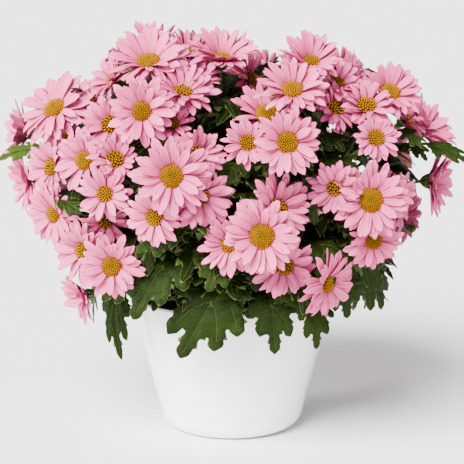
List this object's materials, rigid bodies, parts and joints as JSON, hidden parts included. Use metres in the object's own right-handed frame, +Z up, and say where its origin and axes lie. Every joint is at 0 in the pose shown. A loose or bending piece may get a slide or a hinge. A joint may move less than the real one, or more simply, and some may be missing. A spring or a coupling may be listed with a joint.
{
  "type": "potted chrysanthemum",
  "caption": "Dome of pink daisy-like chrysanthemum flowers with yellow discs and lobed leaves, rooted in a grow pot inside a tapered white cover pot.",
  "frame": {"origin": "centre of the cover pot's flat base", "axes": "+Z up, -Y towards the front, the side that the picture shows, +X to the right seen from the front"},
  "size_m": [0.3317, 0.2906, 0.2886],
  "materials": {
    "glaze": "gloss",
    "grow_pot_plastic": "satin",
    "soil": "matte",
    "stem": "satin",
    "leaf": "satin",
    "flower": "matte",
    "disc": "matte"
  },
  "bodies": {
    "root": {"cover_pot": "glaze", "grow_pot": "grow_pot_plastic", "potting_soil": "soil", "stems_left_front": "stem", "stems_right_front": "stem", "stems_right_back": "stem", "stems_left_back": "stem", "flower_01": "flower", "flower_02": "flower", "flower_03": "flower", "flower_04": "flower", "flower_05": "flower", "flower_06": "flower", "flower_07": "flower", "flower_08": "flower", "flower_09": "flower", "flower_10": "flower", "flower_11": "flower", "flower_12": "flower", "flower_13": "flower", "flower_14": "flower", "flower_15": "flower", "flower_16": "flower", "flower_17": "flower", "flower_18": "flower", "flower_19": "flower", "flower_20": "flower", "flower_21": "flower", "flower_22": "flower", "flower_23": "flower", "flower_24": "flower", "flower_25": "flower", "flower_26": "flower", "flower_27": "flower", "flower_28": "flower", "flower_29": "flower", "flower_30": "flower", "flower_31": "flower", "flower_32": "flower", "flower_33": "flower", "flower_34": "flower", "flower_35": "flower", "flower_36": "flower", "flower_37": "flower", "flower_38": "flower", "flower_39": "flower", "flower_40": "flower", "flower_41": "flower", "leaf_01": "leaf", "leaf_02": "leaf", "leaf_03": "leaf", "leaf_04": "leaf", "leaf_05": "leaf", "leaf_06": "leaf", "leaf_07": "leaf", "leaf_08": "leaf", "leaf_09": "leaf", "leaf_10": "leaf", "leaf_11": "leaf", "leaf_12": "leaf"}
  },
  "joints": []
}
